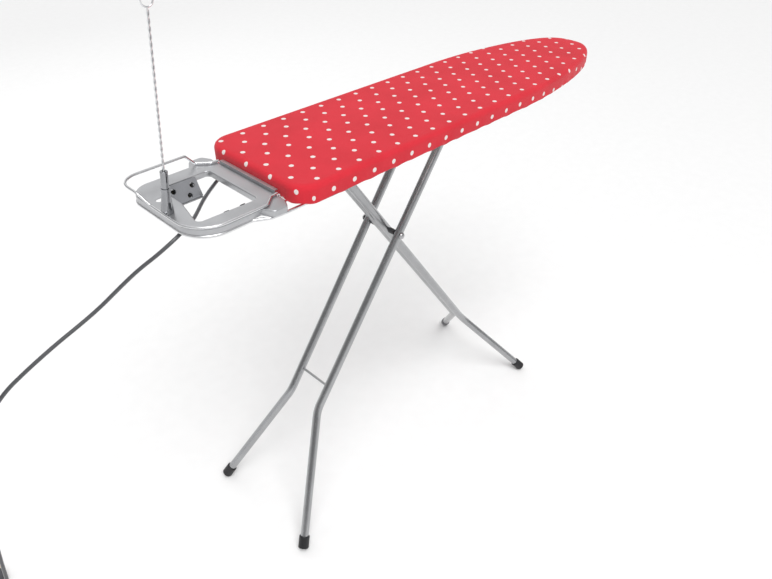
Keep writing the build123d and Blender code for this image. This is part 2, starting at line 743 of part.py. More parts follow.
screw_places = [(-socket_wide / 2 + 4, -socket_high / 2 + 5), (socket_wide / 2 - 4, -socket_high / 2 + 5)]
with BuildPart() as socket_screws:
    for u, v in screw_places:
        with BuildSketch(face_plane.offset(0.1)):
            with Locations((u, v)):
                Circle(2.2)
        extrude(amount=1.1)
save(socket_screws, "socket_screws")

gland_length = 25.0
gland_base = box_plane.offset(-box_deep - 0.1)
gland_v = box_low + box_high / 2
back = Vector(0, sin(tilt), -cos(tilt))
gland_start = gland_base.origin + upslope * gland_v
cord_start = gland_start + back * gland_length
with BuildPart() as cord_gland:
    with BuildSketch(Plane(origin=gland_start, z_dir=back)):
        Circle(8)
    extrude(amount=3)
    with BuildSketch(Plane(origin=gland_start + back * 3, z_dir=back)):
        Circle(6.5)
    with BuildSketch(Plane(origin=cord_start, z_dir=back)):
        Circle(cord_d / 2 + 1)
    loft()
save(cord_gland, "cord_gland")

# --------------------------------------------------------------------- the cord
# From the socket round under the board's end, back across the rest's opening,
# out under the near bar and down to the floor at the left, where its plug lies.
first_run = 23.0
cord_points = [
    tuple(cord_start),
    tuple(cord_start + back * first_run),
    (-541, 150, 868),
    (-514, 168, 868),
    (-459, 176, 884),
    (-433, 161, 893),
    (-423, 133, 899),
    (-433, 105, 903),
    (-468, 80, 905),
    (-531, 35, 905),
    (-589, -21, 906),
    (-632, -46, 906),
    (-672, -38, 882),
    (-708, -22, 858),
    (-742, -8, 830),
    (-776, 2, 804),
    (-812, 8, 785),
    (-860, 14, 764),
    (-912, 20, 738),
    (-960, 26, 710),
    (-1000, 32, 664),
    (-1026, 37, 598),
    (-1045, 42, 518),
    (-1060, 46, 430),
    (-1073, 50, 340),
    (-1083, 53, 250),
    (-1092, 56, 163),
    (-1101, 59, 84),
    (-1108, 68, 34),
    (-1113, 94, 3.7),
    (-1117, 140, 3.7),
    (-1113, 188, 3.7),
    (-1104, 232, 3.7),
]


def cord_radii(points):
    """Arc at each corner: 0.45 of the shorter run over the tangent of half the turn."""
    radii = []
    for before, here, after in zip(points, points[1:], points[2:]):
        run_in = Vector(*here) - Vector(*before)
        run_out = Vector(*after) - Vector(*here)
        turn = radians(run_in.get_angle(run_out))
        radii.append(0.45 * min(run_in.length, run_out.length) / tan(turn / 2))
    return radii


arc_radii = cord_radii(cord_points)
supply_cord = rod(cord_points, arc_radii, cord_d)
save(supply_cord, "supply_cord")

# A saddle clip under the outer bar holds the cord.
clip_at = Vector(-610.5, -33.5, 906)
clip_along = (Vector(-632, -46, 906) - Vector(-589, -21, 906)).normalized()
clip_plane = Plane(origin=clip_at - clip_along * 4, x_dir=Vector(0, 0, 1).cross(clip_along), z_dir=clip_along)
with BuildPart() as cord_clip:
    with BuildSketch(clip_plane):
        Circle(cord_d / 2 + 2)
        with Locations((0, (plate_top - plate_thick - gap - clip_at.Z) / 2)):
            Rectangle(2, plate_top - plate_thick - gap - clip_at.Z)
    extrude(amount=8)
    with BuildSketch(clip_plane.offset(-1)):
        Circle(cord_d / 2 + 0.35)
    extrude(amount=10, mode=Mode.SUBTRACT)
save(cord_clip, "cord_clip")

cord_end = Vector(*cord_points[-1])
cord_dir = (cord_end - Vector(*cord_points[-2])).normalized()
plug_length = 42.0
boot_length = 26.0
plug_half_high = 13.0
plug_rise = plug_half_high - cord_end.Z
with BuildPart() as plug_boot:
    with BuildSketch(Plane(origin=cord_end + cord_dir * 0.1, z_dir=cord_dir)):
        Circle(cord_d / 2)
    with BuildSketch(Plane(origin=cord_end + cord_dir * boot_length + Vector(0, 0, 3.0), z_dir=cord_dir)):
        Circle(6)
    loft()
save(plug_boot, "plug_boot")
plug_origin = cord_end + cord_dir * (boot_length + 0.1) + Vector(0, 0, plug_rise)
plug_plane = Plane(origin=plug_origin, x_dir=Vector(0, 0, 1).cross(cord_dir), z_dir=cord_dir)
with BuildPart() as plug_body:
    with BuildSketch(plug_plane):
        RectangleRounded(18, 2 * plug_half_high - 6, 5)
    with BuildSketch(plug_plane.offset(plug_length * 0.55)):
        RectangleRounded(36, 2 * plug_half_high - 0.4, 8)
    loft()
    with BuildSketch(plug_plane.offset(plug_length * 0.55)):
        RectangleRounded(36, 2 * plug_half_high - 0.4, 8)
    extrude(amount=plug_length * 0.45)
save(plug_body, "plug_body")
with BuildPart() as plug_pins:
    with BuildSketch(plug_plane.offset(plug_length + 0.1)):
        with Locations((-9.5, 0), (9.5, 0)):
            Circle(2.4)
    extrude(amount=19)
    fillet(plug_pins.faces().sort_by(Axis(plug_origin, cord_dir))[-2:].edges(), radius=1.6)
save(plug_pins, "plug_pins")

# Two wire clips under the near bar hold the iron's own cord tidy.
with BuildPart() as bar_clips:
    for x in (plate_x1 - 62, plate_x1 - 96):
        with BuildSketch(Plane(origin=(x, -cut_half + 8.4, plate_top - 10), z_dir=(1, 0, 0))):
            Circle(5.0)
            Circle(3.2, mode=Mode.SUBTRACT)
            with Locations((0, 0)):
                Rectangle(20, 3, align=(Align.MIN, Align.CENTER), mode=Mode.SUBTRACT)
        extrude(amount=9)
save(bar_clips, "bar_clips")

# ------------------------------------------------------------------- cord holder
holder_x = plate_x0 + 9.0
holder_y = -10.0
holder_lean = radians(5.5)
holder_up = Vector(0.695 * sin(holder_lean), -0.719 * sin(holder_lean), cos(holder_lean))
holder_seat = Plane(origin=(holder_x, holder_y, plate_top + 1.4), x_dir=(1, 0, 0.0), z_dir=holder_up)
cone_top = holder_cone
with BuildPart() as holder_base:
    with BuildSketch(holder_seat):
        Circle(holder_d / 2)
    with BuildSketch(holder_seat.offset(holder_cone)):
        Circle(holder_tube_d / 2)
    loft()
    with BuildSketch(holder_seat.offset(holder_cone)):
        Circle(holder_tube_d / 2)
    extrude(amount=holder_tube)
    with BuildSketch(holder_seat.offset(holder_cone - 2)):
        Circle(holder_tube_d / 2 + 1.6)
    extrude(amount=4)
    fillet(holder_base.faces().sort_by(Axis(tuple(holder_seat.origin), tuple(holder_up)))[-1].edges(), radius=1.2)
    with BuildSketch(holder_seat.offset(holder_cone + holder_tube - wand_seat)):
        Circle(wand_d / 2 + 0.35)
    extrude(amount=wand_seat + 1, mode=Mode.SUBTRACT)
    across = Plane(origin=holder_seat.origin, x_dir=holder_seat.x_dir, z_dir=-holder_seat.y_dir)
    with BuildSketch(across.offset(-20)):
        with Locations((0, 14)):
            SlotOverall(16, 5.0, rotation=90)
    extrude(amount=40, mode=Mode.SUBTRACT)
    with BuildSketch(across):
        with Locations((0, holder_cone + holder_tube - 9)):
            Rectangle(1.4, 20)
    extrude(amount=20, mode=Mode.SUBTRACT)
    with BuildSketch(Plane(origin=(guard_x, holder_y - 20, over_z), z_dir=(0, 1, 0))):
        Circle(rod_d / 2 + 0.3)
    extrude(amount=40, mode=Mode.SUBTRACT)
save(holder_base, "holder_base")

with BuildPart() as holder_screw:
    with BuildSketch(Plane.XY.offset(plate_top - plate_thick - 3.2)):
        with Locations((holder_x, holder_y)):
            Circle(5.5)
    extrude(amount=3.0)
save(holder_screw, "holder_screw")

wand_low = holder_cone + holder_tube - wand_seat + 0.5
with BuildPart() as wand:
    with BuildSketch(holder_seat.offset(wand_low)):
        Circle(wand_d / 2)
    extrude(amount=wand_length)
save(wand, "wand")
loop_r = 9.6
loop_base = holder_seat.offset(wand_low + wand_length + loop_r + 1.6).origin
with BuildPart() as wand_loop:
    with BuildSketch(Plane(origin=loop_base + holder_seat.x_dir * loop_r, z_dir=holder_seat.z_dir)):
        Circle(1.5)
    revolve(axis=Axis(tuple(loop_base), tuple(holder_seat.y_dir)))
save(wand_loop, "wand_loop")

# ------------------------------------------------------------------- what it is
print("shortest arcs of the cord", sorted(round(r, 1) for r in arc_radii)[:5])
runs = [(Vector(*b) - Vector(*a)).length for a, b in zip(cord_points, cord_points[1:])]
print("cord runs", [round(run) for run in runs])
print("cord length", round(supply_cord.part.volume / (pi * cord_d ** 2 / 4)))
print("hinge", round(hinge_x, 2), pivot_z, "middle", round(middle.X, 2), round(middle.Z, 2),
    "slider", round(slider_x, 2), "folded", round(slider_folded_x, 2))
print("feet", round(outer_foot_x, 1), round(inner_foot_x, 1), "socket", socket_centre)
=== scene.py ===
from math import cos, pi, radians, sin

import bmesh
import bpy
import numpy as np
from mathutils import Matrix, Vector


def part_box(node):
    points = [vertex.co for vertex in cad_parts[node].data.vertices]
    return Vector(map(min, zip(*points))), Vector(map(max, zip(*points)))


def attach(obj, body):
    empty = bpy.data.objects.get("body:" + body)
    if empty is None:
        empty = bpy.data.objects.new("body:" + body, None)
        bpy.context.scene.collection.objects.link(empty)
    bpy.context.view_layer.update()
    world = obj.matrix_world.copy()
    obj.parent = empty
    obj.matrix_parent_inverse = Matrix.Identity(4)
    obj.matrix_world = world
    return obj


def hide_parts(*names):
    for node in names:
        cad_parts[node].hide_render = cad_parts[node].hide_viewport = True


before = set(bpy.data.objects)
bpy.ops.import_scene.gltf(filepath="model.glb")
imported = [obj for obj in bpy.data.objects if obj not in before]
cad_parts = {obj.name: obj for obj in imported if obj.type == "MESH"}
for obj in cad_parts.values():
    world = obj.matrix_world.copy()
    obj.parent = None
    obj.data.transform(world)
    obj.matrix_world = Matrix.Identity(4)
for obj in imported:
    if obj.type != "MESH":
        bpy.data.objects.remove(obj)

scene = bpy.context.scene
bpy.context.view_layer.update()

# ------------------------------------------------------------------ camera
# A standing viewer's eye, near the iron rest and above the board, looking
# down along it, with a moderately wide lens.
heading = radians(-45.988)
looking_down = radians(36.593)
roll = radians(0.581)
forward = Vector((-sin(heading) * cos(looking_down), cos(heading) * cos(looking_down), -sin(looking_down)))
level_right = Vector((cos(heading), sin(heading), 0))
level_up = level_right.cross(forward)
camera_right = cos(roll) * level_right + sin(roll) * level_up
camera_up = -sin(roll) * level_right + cos(roll) * level_up
camera_data = bpy.data.cameras.new("camera")
camera_data.lens = 31.765
camera_data.sensor_width = 36
camera_data.clip_end = 50
camera = bpy.data.objects.new("camera", camera_data)
turn = Matrix((camera_right, camera_up, -forward)).transposed().to_4x4()
camera.matrix_world = Matrix.Translation((-1.0924, -0.9753, 1.5198)) @ turn
scene.collection.objects.link(camera)
scene.camera = camera

# ------------------------------------------------------------- supply cord
# Rubber-sheathed mains cord. It leaves the socket's gland, turns once under
# the board's end, crosses below the iron rest and hangs to its plug.
cord_d = 0.007
cord_route = np.array([
    (-555, 106.4, 887.2), (-555, 126.2, 875.4), (-541, 150, 868), (-514, 168, 868), (-459, 176, 884),
    (-433, 161, 893), (-423, 133, 899), (-433, 105, 903), (-468, 80, 905), (-531, 35, 905),
    (-589, -21, 906), (-632, -46, 906), (-672, -38, 882), (-708, -22, 858), (-742, -8, 830),
    (-776, 2, 804), (-812, 8, 785), (-860, 14, 764), (-912, 20, 738), (-960, 26, 710),
    (-1000, 32, 664), (-1026, 37, 598), (-1045, 42, 518), (-1060, 46, 430), (-1073, 50, 340),
    (-1083, 53, 250), (-1092, 56, 163), (-1101, 59, 84), (-1108, 68, 34), (-1113, 94, 3.7),
    (-1117, 140, 3.7), (-1113, 188, 3.7), (-1104, 232, 3.7)]) / 1000
cord_curve = bpy.data.curves.new("supply_cord_skin", "CURVE")
cord_curve.dimensions = "3D"
cord_line = cord_curve.splines.new("NURBS")
cord_line.points.add(len(cord_route) - 1)
cord_line.points.foreach_set("co", np.column_stack([cord_route, np.ones(len(cord_route))]).ravel())
cord_line.order_u = 3
cord_line.use_endpoint_u = True
cord_line.resolution_u = 14
cord_line.points.foreach_set("radius", np.full(len(cord_route), cord_d / 2))
cord_curve.bevel_depth = 1.0            # a point's radius is the cord's own
cord_curve.bevel_resolution = 5
cord_curve.use_fill_caps = True
cord = bpy.data.objects.new("supply_cord_skin", cord_curve)
scene.collection.objects.link(cord)
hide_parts("supply_cord")
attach(cord, "board")


def blank_material(name):
    """An empty material: its nodes, a function that links sockets, and its shader."""
    material = bpy.data.materials.new(name)
    material.use_nodes = True
    tree = material.node_tree
    return material, tree.nodes, tree.links.new, tree.nodes["Principled BSDF"]


def math_node(nodes, link, operation, first, second=0.0):
    """One arithmetic node; each input is a number or a socket."""
    node = nodes.new("ShaderNodeMath")
    node.operation = operation
    for socket, value in zip(node.inputs, (first, second)):
        if isinstance(value, (int, float)):
            socket.default_value = value
        else:
            link(value, socket)
    return node.outputs[0]


def solid_finish(name, colour, rough, metallic=0.0, grain=900.0, depth=0.02,
                 spread=0.12, coat=0.0, stretch=(1, 1, 1)):
    """A finish with fine grain: noise shifts its colour, its roughness and its surface a little.

    colour is scaled from 1 - spread to 1 + spread by a slow noise; grain is the
    fine noise's scale per metre, stretched along an axis for drawn metal, and
    depth its height in millimetres.
    """
    patch_scale = 22
    rough_swing = 0.15
    material, nodes, link, shader = blank_material(name)
    place = nodes.new("ShaderNodeTexCoord")
    mapping = nodes.new("ShaderNodeMapping")
    mapping.inputs["Scale"].default_value = stretch
    link(place.outputs["Object"], mapping.inputs["Vector"])
    slow = nodes.new("ShaderNodeTexNoise")
    slow.inputs["Scale"].default_value = patch_scale
    slow.inputs["Detail"].default_value = 4
    link(place.outputs["Object"], slow.inputs["Vector"])
    fine = nodes.new("ShaderNodeTexNoise")
    fine.inputs["Scale"].default_value = grain
    fine.inputs["Detail"].default_value = 3
    link(mapping.outputs["Vector"], fine.inputs["Vector"])
    ramp = nodes.new("ShaderNodeValToRGB")
    ramp.color_ramp.elements[0].position = 0.3
    ramp.color_ramp.elements[1].position = 0.7
    ramp.color_ramp.elements[0].color = [c * (1 - spread) for c in colour] + [1]
    ramp.color_ramp.elements[1].color = [min(1, c * (1 + spread)) for c in colour] + [1]
    link(slow.outputs["Fac"], ramp.inputs["Fac"])
    link(ramp.outputs["Color"], shader.inputs["Base Color"])
    rough_range = nodes.new("ShaderNodeMapRange")
    rough_range.inputs["To Min"].default_value = rough * (1 - rough_swing)
    rough_range.inputs["To Max"].default_value = min(1, rough * (1 + rough_swing))
    link(fine.outputs["Fac"], rough_range.inputs["Value"])
    link(rough_range.outputs["Result"], shader.inputs["Roughness"])
    bump = nodes.new("ShaderNodeBump")
    bump.inputs["Strength"].default_value = 0.25
    bump.inputs["Distance"].default_value = depth / 1000
    link(fine.outputs["Fac"], bump.inputs["Height"])
    link(bump.outputs["Normal"], shader.inputs["Normal"])
    shader.inputs["Metallic"].default_value = metallic
    shader.inputs["Coat Weight"].default_value = coat
    return material


def dress(material, *names):
    """Gives CAD nodes a material."""
    for name in names:
        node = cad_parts[name]
        node.data.materials.clear()
        node.data.materials.append(material)


cord_rubber = solid_finish("cord_rubber", (0.070, 0.072, 0.078), 0.3, grain=1500, depth=0.03, coat=0.35)
cord_curve.materials.append(cord_rubber)
plug_plastic = solid_finish("plug_plastic", (0.055, 0.057, 0.064), 0.42, grain=700, depth=0.04, coat=0.1)
plug_brass = solid_finish("pin_brass", (0.78, 0.62, 0.34), 0.28, metallic=1.0, grain=1200, depth=0.01)
dark_contact = solid_finish("contact_metal", (0.10, 0.085, 0.06), 0.45, metallic=0.8, grain=900, depth=0.01)
dress(cord_rubber, "plug_boot")
dress(plug_plastic, "plug_body")
dress(plug_brass, "plug_pins")
dress(dark_contact, "socket_contacts")

# ------------------------------------------------------------ cotton cover
# Printed cotton stretched over the pad: white spots in a brick layout on red.
# It turns down round the edge and is drawn in underneath by a cord in a hem.
cover_low, cover_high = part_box("fabric_cover")
end_x = cover_low[0]
nose_x = cover_high[0]
half_width = cover_high[1]
cover_top = cover_high[2]
cover_bottom = cover_low[2]
taper_length = 0.411
corner_r = 0.046


def edge_line(count):
    """Points and outward normals round the board, evenly spaced, as two (count, 2) arrays.

    Straight wide end, quarter circles of radius corner_r, straight sides, then
    y = half_width (1 - s^1.48)^(1/2.7) along the taper, s from 0 to 1 at the nose.
    """
    quarter = np.linspace(0, pi / 2, 60)
    share = 1 - np.linspace(1, 0, 900) ** 2.2   # closer together near the nose
    taper_x = nose_x - taper_length
    upper = np.concatenate([
        np.column_stack([np.full(40, end_x), np.linspace(0, half_width - corner_r, 40)]),
        np.column_stack([end_x + corner_r * (1 - np.cos(quarter)),
                         half_width - corner_r * (1 - np.sin(quarter))])[1:],
        np.column_stack([np.linspace(end_x + corner_r, taper_x, 200), np.full(200, half_width)])[1:],
        np.column_stack([taper_x + share * taper_length,
                         half_width * np.maximum(0, 1 - share ** 1.48) ** (1 / 2.7)])[1:]])
    loop = np.concatenate([upper, (upper * (1, -1))[::-1][1:]])
    run = np.concatenate([[0], np.cumsum(np.hypot(*np.diff(loop, axis=0).T))])
    at = np.linspace(0, run[-1], count, endpoint=False)
    points = np.column_stack([np.interp(at, run, loop[:, 0]), np.interp(at, run, loop[:, 1])])
    along = np.roll(points, -1, axis=0) - np.roll(points, 1, axis=0)
    along = along + np.roll(along, 1, axis=0) + np.roll(along, -1, axis=0)
    normals = np.column_stack([-along[:, 1], along[:, 0]])
    return points, normals / np.linalg.norm(normals, axis=1)[:, None]


def board_rings(inner, profile, count):
    """Rings of one skin of the board: (rings, count, 3) places and (rings, count, 2) cloth places.

    The first rings spread from a spine on the middle line to the edge, inner
    being how far inside the edge they end; then profile gives, for each further
    ring, how far inside the edge it is, its height, and the cloth's run so far.
    """
    points, normals = edge_line(count)
    spine_end = 0.20
    spine_x = np.clip(points[:, 0], end_x + half_width, nose_x - spine_end)
    spine = np.column_stack([spine_x, np.zeros(count)])
    rim = points - inner * normals
    places, cloth = [], []
    for share in np.linspace(0, 1, 34)[:-1] ** 0.8:
        flat = spine + (rim - spine) * share
        places.append(np.column_stack([flat, np.full(count, profile[0][1])]))
        cloth.append(flat)
    for inset, height, run in profile:
        flat = points - inset * normals
        places.append(np.column_stack([flat, np.full(count, height)]))
        cloth.append(rim + run * normals)
    return np.array(places), np.array(cloth)


def skin_object(name, places, cloth=None, closed_top=True):
    """A mesh over rings of points, quads between neighbours, welded along the spine."""
    rings, count = places.shape[:2]
    grid = np.arange(rings * count).reshape(rings, count)
    ahead = np.roll(grid, -1, axis=1)
    faces = np.stack([grid[:-1], grid[1:], ahead[1:], ahead[:-1]], axis=-1).reshape(-1, 4)
    mesh = bpy.data.meshes.new(name)
    mesh.from_pydata(places.reshape(-1, 3), [], faces.tolist())
    if cloth is not None:
        layer = mesh.uv_layers.new(name="cloth")
        corners = np.empty(len(mesh.loops), dtype=np.int32)
        mesh.loops.foreach_get("vertex_index", corners)
        layer.data.foreach_set("uv", cloth.reshape(-1, 2)[corners].ravel())
    built = bmesh.new()
    built.from_mesh(mesh)
    bmesh.ops.remove_doubles(built, verts=built.verts, dist=1e-5)
    bmesh.ops.recalc_face_normals(built, faces=built.faces)
    if sum(face.normal.z * face.calc_area() for face in built.faces) < 0 and closed_top:
        bmesh.ops.reverse_faces(built, faces=built.faces)
    built.to_mesh(mesh)
    built.free()
    mesh.shade_smooth()
    piece = bpy.data.objects.new(name, mesh)
    scene.collection.objects.link(piece)
    return piece


def round_profile(points):
    """Adds the running length of cloth to a list of (inset, height) pairs."""
    steps = np.hypot(*np.diff(points, axis=0).T)
    return [(inset, height, run) for (inset, height), run in zip(points, np.concatenate([[0], np.cumsum(steps)]))]


top_round = 0.012
low_round = 0.0045
quarter = np.linspace(0, pi / 2, 9)
cover_profile = np.concatenate([
    np.column_stack([top_round * (1 - np.sin(quarter)), cover_top - top_round * (1 - np.cos(quarter))]),
    np.column_stack([np.zeros(7), np.linspace(cover_top - top_round, cover_bottom + low_round, 9)[1:-1]]),
    np.column_stack([low_round * (1 - np.cos(quarter)), cover_bottom + low_round * (1 - np.sin(quarter))]),
    np.column_stack([np.linspace(low_round, 0.022, 7)[1:], np.full(6, cover_bottom)])])
cover_count = 760
cover_places, cover_cloth = board_rings(top_round, round_profile(cover_profile), cover_count)


def add_gathers(places, cloth):
    """Draws the cloth in: folds that fade upwards from the hem, and a slow unevenness of the top.

    A point moves outwards by depth * low * (sin 2 pi n t + 0.6 sin 2 pi m t),
    low rising from 0 at the top edge to 1 at the hem, t the share round the edge.
    """
    fold_depth = 0.0008
    hem_depth = 0.0009
    top_swell = 0.00035
    share = np.arange(places.shape[1]) / places.shape[1]
    low = np.clip((cover_top - 0.010 - places[..., 2]) / 0.028, 0, 1) ** 1.3
    waves = np.sin(2 * pi * 46 * share + 2.2 * np.sin(2 * pi * 5 * share)) + 0.6 * np.sin(2 * pi * 71 * share)
    under = np.clip((cover_bottom + 0.003 - places[..., 2]) / 0.003, 0, 1)
    normals = edge_line(places.shape[1])[1]
    places[..., :2] += (fold_depth * low * (1 - under) * waves)[..., None] * normals
    places[..., 2] += hem_depth * under * (waves - 1.2)
    top = places[..., 2] > cover_top - 0.002
    x, y = places[..., 0], places[..., 1]
    places[..., 2] += top * top_swell * (np.sin(17 * x + 9 * y) + np.sin(31 * y - 13 * x + 1.3) - 1)


add_gathers(cover_places, cover_cloth)
cover = skin_object("board_cover", cover_places, cover_cloth)
thickness = cover.modifiers.new("cloth", "SOLIDIFY")
thickness.thickness = 0.0011
thickness.offset = -1
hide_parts("fabric_cover")
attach(cover, "board")


def spotted_cotton():
    """Red cotton with white spots.

    On the cloth's own map, rows are 35.8 mm apart and spots 52 mm apart in a
    row; each row moves half a spot along, and every other one a little more.
    A place is white where its distance to the nearest spot is under 4.9 mm.
    """
    material, nodes, link, shader = blank_material("spotted_cotton")
    row_step, spot_step, spot_r = 0.0358, 0.052, 0.0049
    first_row, first_spot = 0.0569, 0.3434
    odd_row_shift = 0.084
    edge_blur, edge_ragged = 0.0003, 0.0012
    thread_pitch = 0.0007
    cloth = nodes.new("ShaderNodeUVMap")
    cloth.uv_map = "cloth"
    edge_noise = nodes.new("ShaderNodeTexNoise")
    edge_noise.inputs["Scale"].default_value = 420
    link(cloth.outputs["UV"], edge_noise.inputs["Vector"])
    parts = nodes.new("ShaderNodeSeparateXYZ")
    link(cloth.outputs["UV"], parts.inputs["Vector"])

    def work(operation, first, second=0.0):
        return math_node(nodes, link, operation, first, second)

    row_place = work("DIVIDE", work("MULTIPLY", work("ADD", parts.outputs["Y"], first_row), -1.0), row_step)
    row = work("ROUND", row_place)
    across = work("MULTIPLY", work("SUBTRACT", row_place, row), row_step)
    odd = work("PINGPONG", row, 1.0)
    spot_place = work("DIVIDE", work("ADD", parts.outputs["X"], first_spot), spot_step)
    spot_place = work("ADD", spot_place, work("MULTIPLY", row, 0.5))
    spot_place = work("ADD", spot_place, work("MULTIPLY", odd, odd_row_shift))
    along = work("MULTIPLY", work("SUBTRACT", spot_place, work("ROUND", spot_place)), spot_step)
    distance = work("SQRT", work("ADD", work("MULTIPLY", across, across), work("MULTIPLY", along, along)))
    ragged = work("ADD", distance, work("MULTIPLY", work("SUBTRACT", edge_noise.outputs["Fac"], 0.5), edge_ragged))
    spot = nodes.new("ShaderNodeMapRange")
    spot.inputs["From Min"].default_value = spot_r + edge_blur
    spot.inputs["From Max"].default_value = spot_r - edge_blur
    link(ragged, spot.inputs["Value"])
    slow = nodes.new("ShaderNodeTexNoise")
    slow.inputs["Scale"].default_value = 9
    slow.inputs["Detail"].default_value = 5
    link(cloth.outputs["UV"], slow.inputs["Vector"])
    red = nodes.new("ShaderNodeValToRGB")
    red.color_ramp.elements[0].position = 0.3
    red.color_ramp.elements[1].position = 0.72
    red.color_ramp.elements[0].color = (0.60, 0.020, 0.034, 1)
    red.color_ramp.elements[1].color = (0.70, 0.026, 0.044, 1)
    link(slow.outputs["Fac"], red.inputs["Fac"])
    mix = nodes.new("ShaderNodeMix")
    mix.data_type = "RGBA"
    mix.inputs["B"].default_value = (0.80, 0.73, 0.71, 1)
    link(spot.outputs["Result"], mix.inputs["Factor"])
    link(red.outputs["Color"], mix.inputs["A"])
    link(mix.outputs["Result"], shader.inputs["Base Color"])
    threads = []
    for axis in ("X", "Y"):
        turns = work("MULTIPLY", parts.outputs[axis], 2 * pi / thread_pitch)
        threads.append(work("SINE", turns))
    weave = work("MULTIPLY", threads[0], threads[1])
    bump = nodes.new("ShaderNodeBump")
    bump.inputs["Strength"].default_value = 0.35
    bump.inputs["Distance"].default_value = 0.00012
    link(weave, bump.inputs["Height"])
    link(bump.outputs["Normal"], shader.inputs["Normal"])
    shader.inputs["Roughness"].default_value = 0.86
    shader.inputs["Sheen Weight"].default_value = 0.12
    shader.inputs["Sheen Roughness"].default_value = 0.5
    shader.inputs["Specular IOR Level"].default_value = 0.25
    return material


cover.data.materials.append(spotted_cotton())

# ----------------------------------------------------------- hem and drawcord
# A folded cotton hem under the board holds the drawcord, and is closed by a
# row of stitches just inside it.
hem_inset = 0.0222
hem_r = 0.0021
hem_wobble = 0.0007
stitch_inset = 0.0178
stitch_r = 0.0004
hem_count = 700


def ring_tube(name, inset, height, radius, count, wobble=0.0):
    """A closed round tube that follows the board's edge, inset inwards, at a height."""
    points, normals = edge_line(count)
    share = np.arange(count) / count
    lift = wobble * np.sin(2 * pi * 46 * share + 2.2 * np.sin(2 * pi * 5 * share))
    centre = np.column_stack([points - inset * normals, height + lift])
    angle = np.linspace(0, 2 * pi, 10, endpoint=False)
    outward = np.column_stack([normals, np.zeros(count)])
    rings = (centre[None] + radius * np.cos(angle)[:, None, None] * outward
             + radius * np.sin(angle)[:, None, None] * np.array((0, 0, 1)))
    rings = np.concatenate([rings, rings[:1]])
    return skin_object(name, rings, closed_top=False)


hem_roll = ring_tube("cover_hem", hem_inset, cover_bottom + 0.0002, hem_r, hem_count, hem_wobble)
hem_cloth = solid_finish("hem_cotton", (0.58, 0.022, 0.036), 0.88, grain=1400, depth=0.12, spread=0.1)
hem_roll.data.materials.append(hem_cloth)
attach(hem_roll, "board")
stitches = ring_tube("cover_hem_stitch", stitch_inset, cover_bottom - stitch_r, stitch_r, hem_count, hem_wobble)
stitch_thread = solid_finish("stitch_thread", (0.72, 0.10, 0.11), 0.8, grain=2500, depth=0.1)
stitches.data.materials.append(stitch_thread)
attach(stitches, "board")

# -------------------------------------------------------------- felt and foam
# One soft pad under the cotton, cut to the board and rounded at its top edge.
# It shows through the slots of the steel surface from below.
pad_low, pad_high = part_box("foam_pad")
pad_inset = 0.0032
pad_round = 0.0078
pad_clear = 0.0004
pad_profile = np.concatenate([
    np.column_stack([pad_inset + pad_round * (1 - np.sin(quarter)), pad_high[2] - pad_round * (1 - np.cos(quarter))]),
    np.column_stack([np.full(3, pad_inset), np.linspace(pad_high[2] - pad_round, pad_low[2], 4)[1:]])])
pad_places, pad_cloth = board_rings(pad_inset + pad_round, round_profile(pad_profile), 500)
under_places, under_cloth = board_rings(pad_inset, [(pad_inset, pad_low[2], 0.0)], 500)
pad_places[..., 2] = np.minimum(pad_places[..., 2], pad_high[2] - pad_clear)
pad = skin_object("board_pad", np.concatenate([pad_places, under_places[-2::-1]]),
                  np.concatenate([pad_cloth, under_cloth[-2::-1]]), closed_top=False)
pad.data.materials.append(solid_finish("felt", (0.74, 0.70, 0.60), 0.95, grain=600, depth=0.4, spread=0.08))
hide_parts("foam_pad")
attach(pad, "board")

# ---------------------------------------------------------------- steel parts
# Pressed and powder-coated steel under the board, silver-lacquered leg tubes,
# and bright drawn wire for the rods.
frame_lacquer = solid_finish("frame_lacquer", (0.46, 0.47, 0.48), 0.42, metallic=0.55, grain=500, depth=0.03,
                             coat=0.15)
leg_lacquer = solid_finish("leg_lacquer", (0.38, 0.385, 0.395), 0.26, metallic=0.95, grain=420, depth=0.03,
                           spread=0.07, coat=0.25)
rest_lacquer = solid_finish("rest_lacquer", (0.47, 0.475, 0.49), 0.34, metallic=0.8, grain=480, depth=0.03,
                            spread=0.06, coat=0.2)
bright_wire = solid_finish("bright_wire", (0.72, 0.725, 0.74), 0.24, metallic=1.0, grain=900, depth=0.01, spread=0.06,
                           stretch=(0.2, 1, 1))
bolt_steel = solid_finish("bolt_steel", (0.46, 0.465, 0.475), 0.3, metallic=1.0, grain=800, depth=0.02)
dress(frame_lacquer, "top_mesh", "rim_channel", "brace_rest", "brace_hinge", "brace_guide_rear", "brace_guide_front",
      "hinge_bracket", "guide_hanger_rear", "guide_hanger_front", "lever_arm")
dress(leg_lacquer, "inner_leg_near", "inner_leg_far", "outer_leg_near", "outer_leg_far")
dress(rest_lacquer, "rest_plate", "rest_strip", "socket_bracket")
dress(bright_wire, "guard_rod", "frame_rod")
dress(bolt_steel, "hinge_pin", "guide_rod", "slider_axle", "pivot_bolt", "dome_nut_near", "dome_nut_far", "tie_rod",
      "leg_tie_upper", "leg_tie_lower", "lever_pin", "socket_screws", "holder_screw")

